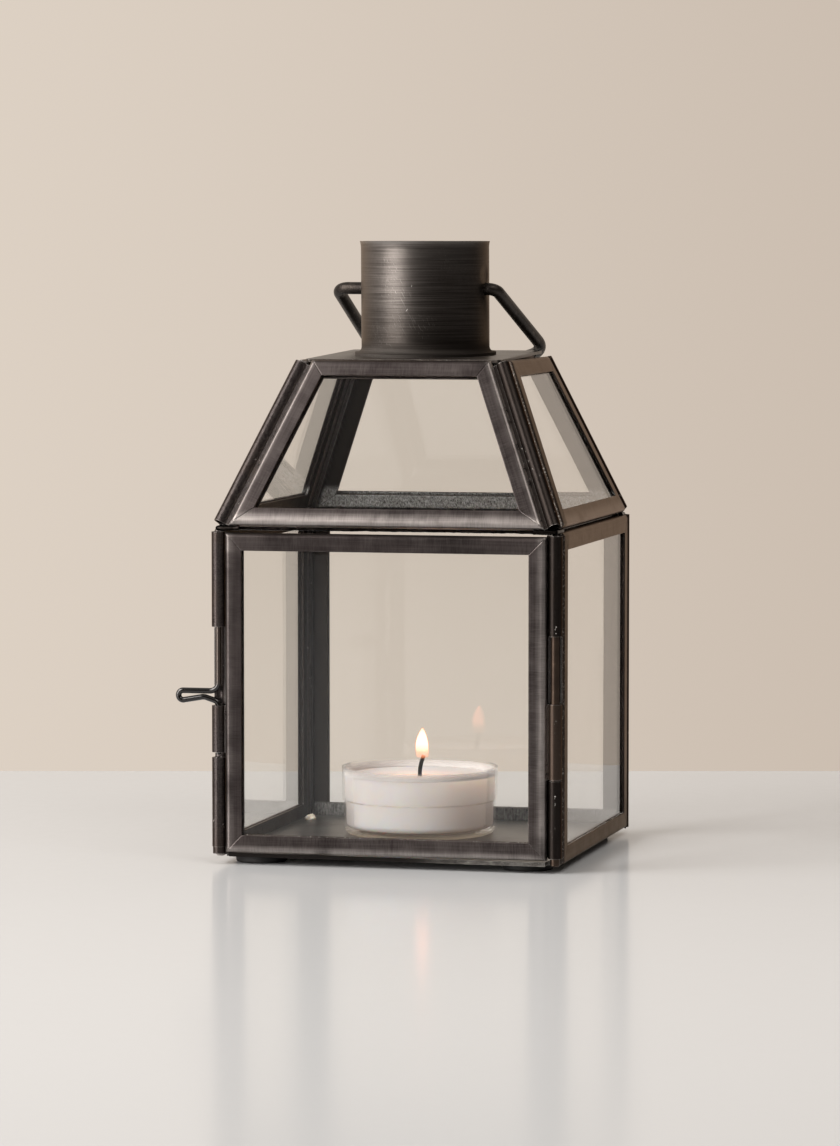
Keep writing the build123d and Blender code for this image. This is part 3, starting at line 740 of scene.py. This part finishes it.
# %% Bead tree
def cut_line(tree, edges, step):
    """Loose edges as curves, cut into steps of one length."""
    line = tree.node("GeometryNodeMeshToCurve", {}, {"Mesh": edges})
    return tree.node("GeometryNodeResampleCurve", {"mode": "LENGTH"}, {"Curve": line, "Length": step})


def bead_tree():
    tree, given = geometry_tree("solder_bead", {
        "Thickness": "Float", "Step": "Float", "Wander": "Float", "Seed": "Float", "Material": "Material"})
    line = cut_line(tree, given["Geometry"], given["Step"])
    aside = scatter(tree, 0.0012, given["Seed"], given["Wander"])
    line = tree.node("GeometryNodeSetPosition", {}, {"Geometry": line, "Offset": aside})
    swell = tree.node("ShaderNodeTexNoise", {"noise_dimensions": "4D"}, {"W": given["Seed"], "Scale": 900.0})
    ring = tree.node("GeometryNodeCurvePrimitiveCircle", {}, {"Resolution": 8, "Radius": given["Thickness"]})
    bead = tree.node("GeometryNodeCurveToMesh", {}, {
        "Curve": line, "Profile Curve": ring, "Scale": 0.55 + swell * 0.9, "Fill Caps": True})
    return end_tree(tree, bead, given["Material"])


beads = bead_tree()
print("bead tree", len(beads.nodes), "nodes")

# %% [markdown]
# ## From tree to piece
# A piece that rides on the lantern has to be a plain mesh. The lines go in as loose edges, the modifier
# grows the solder, and the result replaces the edges. Inputs are set by their identifiers before the
# first evaluation.

# %% Grow a piece
def line_mesh(name, lines):
    mesh = bpy.data.meshes.new(name)
    points = [p for line in lines for p in line]
    mesh.from_pydata(points, [(i, i + 1) for i in range(0, len(points), 2)], [])
    return add(name, mesh)


def grow(piece, tree, **values):
    """Run a tree on a piece, keep the result as its mesh, and drop the modifier."""
    modifier = piece.modifiers.new("grow", "NODES")
    modifier.node_group = tree
    for item in tree.interface.items_tree:
        if item.in_out == "INPUT" and item.name in values:
            modifier[item.identifier] = values[item.name]
    grown = piece.evaluated_get(bpy.context.evaluated_depsgraph_get())
    mesh = bpy.data.meshes.new_from_object(grown)
    piece.modifiers.clear()
    piece.data = mesh
    return piece


print("lines can grow into pieces")

# %% [markdown]
# ## Solder in the mitres
# The corners of each frame are closed with solder, on the outer and on the inner face. A groove in the
# strips would need the CAD model; the bead tree only adds to it, along the lines of the mitres, sunk so
# that a low back stands out of the metal. Solder is bright when it sets and dulls with age, so one recipe
# gives three tones: for the mitres, for the runs behind the edges, and for bright drops. The runs behind
# the edges are near-black, dark pieces that stand in for shade.

# %% Mitre beads
def solder_metal(name, deep, pale):
    f = Finish(name)
    skin, dull = f.cloud(0.0007, 3), f.cloud(0.0035, 3).step(0.50, 0.70)
    return f.surface(
        base_color=f.mix(dull, deep, pale), metallic=0.95, roughness=0.2 + skin * 0.2,
        normal=f.relief(skin, 0.00004),
    )


solder = solder_metal("set_solder", (0.045, 0.038, 0.036, 1), (0.30, 0.28, 0.27, 1))
# Near-black solder for the runs behind the edges: a dark piece standing in for shade.
dark_solder = solder_metal("dark_solder", (0.010, 0.008, 0.007, 1), (0.030, 0.025, 0.022, 1))
bright_solder = solder_metal("bright_solder", (0.40, 0.38, 0.36, 1), (0.85, 0.83, 0.80, 1))
bead_start, bead_sink = 0.16, 0.00010
for body, group in panels.items():
    lines = []
    for corners, inner, outwards in group:
        for corner, deeper in zip(corners, inner):
            start = corner.lerp(deeper, bead_start)
            for height in (-bead_sink, bead_sink - strip_depth):
                lines.append((start + outwards * height, deeper + outwards * height))
    piece = grow(line_mesh(f"mitre_solder_{body}", lines), beads, Thickness=0.00009, Step=0.00025,
                 Wander=0.00014, Seed=3.0, Material=solder)
    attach(piece, body)
    print(piece.name, len(lines), "beads,", len(piece.data.polygons), "faces")

# %% [markdown]
# ## Drop
# Where a tube meets a frame the solder was only tacked: drops of all sizes, some close together and then
# none for a while. Particles could scatter them, but a tree is easier to repeat: points along the line,
# each kept or dropped by a seeded chance, each with a small lumpy drop turned and scaled at random.

# %% Drop tree
def drop_tree():
    tree, given = geometry_tree("solder_drops", {
        "Spacing": "Float", "Share": "Float", "Smallest": "Float", "Largest": "Float", "Wander": "Float",
        "Seed": "Int", "Material": "Material"})
    line = cut_line(tree, given["Geometry"], given["Spacing"])
    spots = tree.node("GeometryNodeCurveToPoints", {"mode": "EVALUATED"}, {"Curve": line})
    spots = tree.node("GeometryNodeSetPosition", {}, {
        "Geometry": spots, "Offset": scatter(tree, 0.0007, given["Seed"], given["Wander"])})
    kept = tree.node("FunctionNodeRandomValue", {"data_type": "BOOLEAN"}, {
        "Probability": given["Share"], "Seed": given["Seed"]}, 3)
    size = tree.node("FunctionNodeRandomValue", {"data_type": "FLOAT"}, {
        2: given["Smallest"], 3: given["Largest"], "Seed": given["Seed"] + 1}, 1)
    turn = tree.node("FunctionNodeRandomValue", {"data_type": "FLOAT_VECTOR"}, {
        1: (6.28, 6.28, 6.28), "Seed": given["Seed"] + 2})
    drop = tree.node("GeometryNodeMeshIcoSphere", {}, {"Radius": 1.0, "Subdivisions": 2})
    lumps = scatter(tree, 1.3, 2.0, 0.9)
    drop = tree.node("GeometryNodeSetPosition", {}, {"Geometry": drop, "Offset": lumps})
    drops = tree.node("GeometryNodeInstanceOnPoints", {}, {
        "Points": spots, "Selection": kept, "Instance": drop, "Rotation": turn, "Scale": size})
    return end_tree(tree, drops, given["Material"])


drops = drop_tree()
print("drop tree", len(drops.nodes), "nodes")

# %% [markdown]
# ## Solder along the tubes
# The tacks sit in the grooves between tubes and frames, a little behind the outer face. They run along
# both side edges of every fixed panel, on the roof up the hips. The door has them only at its two
# knuckles, because the rest of its edges swing free. Each body gets a piece of its own, so that the door
# carries its drops along when it opens.

# %% Tacks
tack_depth = 0.0006
for body, group in panels.items():
    lines = []
    for corners, _, outwards in group:
        for start, end in ((corners[1], corners[2]), (corners[3], corners[0])):
            lines.append((start - outwards * tack_depth, end - outwards * tack_depth))
    if body == "door":
        knuckles = [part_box(n) for n in ("door_hinge_knuckle", "door_latch_knuckle")]
        lines = [[Vector((side * panel_half, tack_depth - half_body, end.z)) for end in knuckle]
                 for side, knuckle in zip((1, -1), knuckles)]
    piece = grow(line_mesh(f"tack_solder_{body}", lines), drops, Spacing=0.0007, Share=0.16, Smallest=0.00008,
                 Largest=0.00030, Wander=0.0004, Seed=11, Material=solder)
    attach(piece, body)
    print(piece.name, len(piece.data.polygons), "faces")

# %% [markdown]
# ## Runs of solder behind the edges
# The roof is held to the walls by a run of solder along its inner lower edge, with a thick drop at the
# foot of each hip. One more run, in the inner corner behind the hinge, ties the hinge's sleeves to the
# right-hand frame and shuts out the light there. All are the bead of the mitres, only thicker, so the
# same tree makes them. They are near-black: dark pieces that stand in for shade under the roof's edge
# and behind the hinge.

# %% Solder runs
eave_half, eave_low = roof_half_low - strip_depth * cos(roof_lean), roof_low - strip_depth * sin(roof_lean)
square = [(-1, -1), (1, -1), (1, 1), (-1, 1)]
eaves = [Vector((x * eave_half, y * eave_half, eave_low)) for x, y in square]
foot_depth, foot_start, foot_end, foot_high = 0.0415, 0.0358, 0.0411, eave_low + 0.0001
hip_feet = []
for x, y in square:
    foot = Vector((x * foot_end, y * foot_end, eave_low))
    hip_feet.append((Vector((x * foot_start, y * foot_depth, foot_high)), foot))
    hip_feet.append((Vector((x * foot_depth, y * foot_start, foot_high)), foot))
hinge_corner = Vector((0.0392, -0.0386, 0.0))
sleeve_low, sleeve_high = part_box("hinge_lower_sleeve")[0].z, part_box("hinge_upper_sleeve")[1].z
hinge_run = [(hinge_corner + Vector((0, 0, sleeve_low)), hinge_corner + Vector((0, 0, sleeve_high)))]
runs = {"eaves_solder": (list(zip(eaves, eaves[1:] + eaves[:1])), 0.00042),
        "hip_foot_solder": (hip_feet, 0.00060), "hinge_solder": (hinge_run, 0.00080)}
for name, (lines, thickness) in runs.items():
    piece = grow(line_mesh(name, lines), beads, Thickness=thickness, Step=0.0005, Wander=0.0001, Seed=7.0,
                 Material=dark_solder)
    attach(piece, "lantern")
    print(name, len(lines), "runs,", len(piece.data.polygons), "faces")

# %% [markdown]
# ## Putty
# Along the lower rails, whitish crumbs of putty sit where the glass goes into the strip. A pale line in
# the finish would look painted on, so they are real lumps: the drop tree again, finer and closer.

# %% Putty crumbs
def putty():
    f = Finish("putty_crumbs")
    grain, stain = f.cloud(0.0002, 3), f.cloud(0.002, 3)
    return f.surface(
        base_color=f.mix(stain, (0.30, 0.28, 0.26, 1), (0.72, 0.70, 0.67, 1)), roughness=0.6 + grain * 0.3,
        normal=f.relief(grain, 0.00003),
    )


crumbs = putty()
putty_depth = 0.0004
for body, group in panels.items():
    lines = [[end - outwards * putty_depth for end in inner[:2]] for _, inner, outwards in group]
    piece = grow(line_mesh(f"putty_{body}", lines), drops, Spacing=0.0004, Share=0.30, Smallest=0.00004,
                 Largest=0.00013, Wander=0.00025, Seed=5, Material=crumbs)
    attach(piece, body)
    print(piece.name, len(piece.data.polygons), "faces")

# %% [markdown]
# ## Bright drops on the hinge
# On the hinge's sleeves, spilt solder has set in bright drops, in two places one above the other. They
# stay bright because nothing rubs there. The drop tree makes them along two short lines in front of the
# sleeves, crowded and pushed well aside.

# %% Hinge drops
sleeve_x, sleeve_y, spill_length = 0.04136, -0.04262, 0.0022
spill = [[Vector((sleeve_x, sleeve_y, z)) for z in (low, low + spill_length)] for low in (0.0162, 0.0562)]
piece = grow(line_mesh("hinge_drops", spill), drops, Spacing=0.0003, Share=0.8, Smallest=0.00006,
             Largest=0.00020, Wander=0.0012, Seed=2, Material=bright_solder)
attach(piece, "lantern")
print(piece.name, len(piece.data.polygons), "faces")

# %% [markdown]
# ## Turned shapes
# The flame, and the film of wax further on, are round. A Screw modifier turns a profile about a straight
# axis; the flame leans, so here each ring of the profile is set about its own point of the axis and
# joined to the next. A third helper makes an object of the finished mesh.

# %% Turned shapes
def add_mesh(name, mesh, smooth=True):
    """Turn a bmesh into an object in the scene."""
    bmesh.ops.recalc_face_normals(mesh, faces=mesh.faces)
    for face in mesh.faces:
        face.smooth = smooth
    data = bpy.data.meshes.new(name)
    mesh.to_mesh(data)
    mesh.free()
    return add(name, data)


def lathe(name, profile, axis, segments=32, ring=False):
    """A turned shape: (radius, height) pairs from foot to tip, or round a ring, about a line of centres."""
    mesh = bmesh.new()
    rings = []
    for radius, height in profile:
        centre = axis(height)
        count = segments if radius > 0 else 1
        turns = [2 * pi * i / count for i in range(count)]
        rings.append([mesh.verts.new((centre.x + radius * cos(turn), centre.y + radius * sin(turn), height))
                      for turn in turns])
    for one, two in zip(rings, rings[1:] + rings[:1] if ring else rings[1:]):
        for i in range(segments):
            j = (i + 1) % segments
            corners = [one[i % len(one)], one[j % len(one)], two[j % len(two)], two[i % len(two)]]
            mesh.faces.new(list(dict.fromkeys(corners)))
    return add_mesh(name, mesh)


print("lathe ready")

# %% [markdown]
# ## Flame
# A candle flame is a small leaf of light: flat at the wick, widest low down, drawn out to a tip. The
# heart is white, the foot is peach and see-through, and a thin orange skin lies round it. It is lathed
# from one curve with a slight lean, twice: the heart, and a wider skin with little alpha. Alpha changes
# with height, and colour with height and a little flicker.

# %% Flame
flame_rise, flame_height, flame_lean = 0.00425, 0.0071, 0.00016
flame_foot, flame_tip = wax_top + flame_rise, wax_top + flame_rise + flame_height
flame_x, flame_y = wick_foot.x + 0.00065, wick_foot.y + 0.0002
flame_widest, flame_rings = 0.35, 22
heart_radius, skin_radius = 0.00152, 0.00182


def flame_axis(height):
    rise = (height - flame_foot) / (flame_tip - flame_foot)
    return Vector((flame_x - flame_lean * sin(pi * rise), flame_y, 0))


def flame_profile(width, foot, tip):
    """Almost straight up to the widest place, then a curve in to the tip."""
    outline = []
    for i in range(flame_rings + 1):
        rise = i / flame_rings
        swell = 0.95 + 0.05 * sin(min(1, rise / flame_widest) * pi / 2)
        taper = cos(max(0, rise - flame_widest) / (1 - flame_widest) * pi / 2) ** 0.8
        outline.append((width * swell * taper, foot + rise * (tip - foot)))
    return [(0, foot), (outline[0][0] * 0.9, foot)] + outline[1:-1] + [(0, tip)]


def flame_light(name, foot, body, tip, strength, alpha_foot, alpha_body):
    f = Finish(name)
    rise = (f.along((0, 0, 1)) - flame_foot) / (flame_tip - flame_foot)
    flicker = f.cloud(0.0016, 2)
    hue = f.mix((rise + flicker * 0.2 - 0.1).step(0.06, 0.50), foot, body)
    hue = f.mix(rise.step(0.8, 1.05), hue, tip)
    return f.surface(
        base_color=(0, 0, 0, 1), roughness=1.0, specular_ior_level=0.0,
        emission_color=hue, emission_strength=strength,
        alpha=alpha_foot + rise.step(0.0, 0.5) * (alpha_body - alpha_foot),
    )


heart = lathe("flame_heart", flame_profile(heart_radius, flame_foot, flame_tip), flame_axis)
heart.data.materials.append(flame_light(
    "flame_heart", (0.50, 0.22, 0.13, 1), (1.0, 0.42, 0.29, 1), (1.0, 0.36, 0.20, 1),
    strength=4.2, alpha_foot=0.14, alpha_body=0.92))
skin = lathe("flame_skin", flame_profile(skin_radius, flame_foot - 0.0001, flame_tip + 0.0004), flame_axis)
skin.data.materials.append(flame_light(
    "flame_skin", (1.0, 0.36, 0.12, 1), (1.0, 0.45, 0.17, 1), (1.0, 0.40, 0.15, 1),
    strength=1.4, alpha_foot=0.06, alpha_body=0.12))
for piece in (heart, skin):
    piece.visible_shadow = False
    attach(piece, "tealight")
print("flame", round(flame_height * 1000, 1), "mm tall, from", round(flame_foot, 4), "m")

# %% [markdown]
# ## Wax on the wall of the cup
# Melted wax wets the wall of the cup, so a milky film climbs from the wax to just under the rim. A white
# tint on the cup itself would have no thickness at its edge. So the film is a thin turned ring, thick
# where it joins the wax and thin at the top, and its alpha fades upwards with a few thinner patches.

# %% Wax film
def film_wax(low, high):
    f = Finish("wax_film")
    patch, rise = f.cloud(0.004, 3), f.along((0, 0, 1)).step(low, high)
    # Its warm emission is painted glow from the flame, as in the wax.
    return f.surface(
        base_color=f.mix(patch, (0.80, 0.79, 0.785, 1), (0.86, 0.855, 0.85, 1)), roughness=0.45 + patch * 0.1,
        alpha=0.95 - rise * 0.65 + (patch - 0.5) * 0.25, specular_ior_level=0.1,
        emission_color=(0.15, 0.095, 0.072, 1), emission_strength=0.3,
    )


cup_wall_and_gap, film_foot = 0.00065, 0.0005
film_wall = (tealight_high.x - tealight_low.x) / 2 - cup_wall_and_gap
film_low, film_high = wax_top - 0.0001, tealight_high.z - 0.0003
film_edge, film_loop = 0.00005, 0.00015
film_profile = [(film_wall - film_foot, film_low), (film_wall - film_edge, film_low)]
film_profile += [(film_wall, film_low + rise) for rise in (film_edge, film_loop)]
film_profile += [(film_wall, film_high - fall) for fall in (film_loop, film_edge)]
film_profile += [(film_wall - 0.00003, film_high), (film_wall - 0.00006, film_high - 0.00008),
                 (film_wall - 0.00012, film_low + film_foot)]
film = lathe("wax_film", film_profile, lambda height: wick_foot, 96, ring=True)
film.data.materials.append(film_wax(film_low, film_high))
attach(film, "tealight")
print("film", round((film_high - film_low) * 1000, 2), "mm tall")

# %% [markdown]
# ## A crumb of wax
# A crumb of old wax lies on the base plate near the back left corner. It began as a drop, so it is a
# rounded lump, flat underneath, with a chipped side. A noise field pushes the points of a small ball
# about, and the lower half is pressed flat onto the plate.

# %% Wax crumb
plate_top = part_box("base_plate")[1].z
crumb_x, crumb_y, crumb_wide, crumb_deep = -0.0368, 0.0300, 0.0014, 0.0011
crumb_mesh = bmesh.new()
bmesh.ops.create_icosphere(crumb_mesh, subdivisions=4, radius=1.0)
for vertex in crumb_mesh.verts:
    chips = noise.noise(vertex.co * 1.3 + Vector((4.1, 0.7, 2.2)))
    p = vertex.co * (1 + 0.35 * chips + 0.08 * noise.noise(vertex.co * 5))
    rise = max(0.0, p.z + 0.25)
    vertex.co = (crumb_x + p.x * crumb_wide, crumb_y + p.y * crumb_deep, plate_top + rise * crumb_deep)
bmesh.ops.remove_doubles(crumb_mesh, verts=crumb_mesh.verts, dist=1e-6)
crumb = add_mesh("wax_crumb", crumb_mesh)


def old_wax():
    f = Finish("old_wax")
    grain, stain = f.cloud(0.0006, 3), f.cloud(0.0018, 3)
    return f.surface(
        base_color=f.mix(stain, (0.72, 0.62, 0.48, 1), (0.90, 0.84, 0.74, 1)), roughness=0.45 + grain * 0.2,
        normal=f.relief(grain, 0.00005),
        subsurface_weight=0.5, subsurface_radius=(1, 0.7, 0.5), subsurface_scale=0.001,
    )


crumb.data.materials.append(old_wax())
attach(crumb, "lantern")
print("crumb", [round(1000 * v, 2) for v in crumb.dimensions], "mm")

# %% [markdown]
# ## Table
# The lantern stands on a white lacquered board that ends a hand's length behind it, square to the view.
# From just in front of the lantern to its front edge the board gets darker, so that the door doesn't
# mirror much of it.

# %% Board
def rounded_board(size, thickness, edge):
    mesh = bmesh.new()
    bmesh.ops.create_cube(mesh, size=1.0)
    for vertex in mesh.verts:
        vertex.co = (vertex.co.x * size[0], vertex.co.y * size[1], (vertex.co.z - 0.5) * thickness)
    bmesh.ops.bevel(mesh, geom=mesh.edges[:], offset=edge, segments=4, affect="EDGES", profile=0.5)
    return add_mesh("board", mesh, smooth=False)


def lacquer(fade_from, fade_to):
    f = Finish("white_lacquer")
    ripple, dust = f.cloud(0.25, 2), f.cloud(0.004, 2)
    white = f.mix(ripple, (0.685, 0.698, 0.715, 1), (0.715, 0.728, 0.745, 1))
    white = f.mix(f.along((0, -1, 0)).step(fade_from, fade_to) * 0.7, white, (0.10, 0.095, 0.09, 1))
    return f.surface(
        base_color=white, roughness=0.14 + dust * 0.03, specular_ior_level=0.05,
        normal=f.relief(ripple, 0.0002),
    )


board_rear, board_front, board_width, fade_start = 0.181, 1.10, 5.0, 0.16
board_middle = (board_rear - board_front) / 2
board = rounded_board((board_width, board_rear + board_front), thickness=0.03, edge=0.003)
board.data.materials.append(lacquer(board_middle + fade_start, board_middle + board_front))
board.rotation_euler = (0, 0, view_turn)
board.location = view_ahead * board_middle
print("board's rear edge", board_rear, "m behind the lantern's middle")

# %% [markdown]
# ## Room
# Around it is a warm pale room: lighter to the left, dim behind the camera, with a pale ceiling. The room
# is a gradient in the World, which needs no walls, so every side of the lantern can be looked at.

# %% Room
world = bpy.data.worlds.new("room")
bpy.context.scene.world = world
world.use_nodes = True
room = Tree(world.node_tree)
towards = room.node("ShaderNodeTexCoord", out="Generated")


def share(direction, low, high):
    """0 to 1 as the view turns towards a direction."""
    return room.dot(towards, direction).step(low, high)


wall = room.mix(share(view_aside, -0.14, 0.14), (0.735, 0.648, 0.56, 1), (0.59, 0.503, 0.425, 1))
front = room.mix(share(view_aside, -0.95, -0.38), (0.55, 0.50, 0.46, 1), (0.085, 0.073, 0.066, 1))
around = room.mix(share(view_ahead, 0.15, 0.7), front, wall)
around = room.mix(share((0, 0, 1), 0.60, 0.90), around, (0.58, 0.555, 0.52, 1))
room.plug(world.node_tree.nodes["Background"], {"Color": around, "Strength": 1.0})
print("room ready")

# %% [markdown]
# ## Light
# One soft window of light stands at the front left. It draws the long light down the left of the chimney
# and leaves the right of it dark. A second, higher on the left, and a small lamp high on the right, put
# bright lines on the rounded edges of the roof and keep the table even.

# %% Lights
light_aim = Vector((0, 0, 0.08))


def soft_light(name, turn, away, height, width, tall, power, colour):
    lamp = bpy.data.lights.new(name, "AREA")
    lamp.shape, lamp.size, lamp.size_y, lamp.energy, lamp.color = "RECTANGLE", width, tall, power, colour
    light = add(name, lamp)
    light.location = (away * sin(radians(turn)), -away * cos(radians(turn)), height)
    aim = light_aim - light.location
    light.rotation_euler = aim.to_track_quat("-Z", "Y").to_euler()
    light.visible_camera = light.visible_transmission = False


soft_light("window", turn=-43, away=1.6, height=0.55, width=0.95, tall=1.2,
           power=27.0, colour=(1.0, 0.965, 0.93))
soft_light("high_window", turn=-56, away=1.5, height=1.38, width=1.4, tall=0.5,
           power=13.0, colour=(1.0, 0.97, 0.94))
soft_light("lamp", turn=40, away=1.0, height=1.27, width=0.9, tall=0.5,
           power=6.0, colour=(1.0, 0.96, 0.91))
bpy.context.scene.view_settings.view_transform = "Standard"
print("lights set")
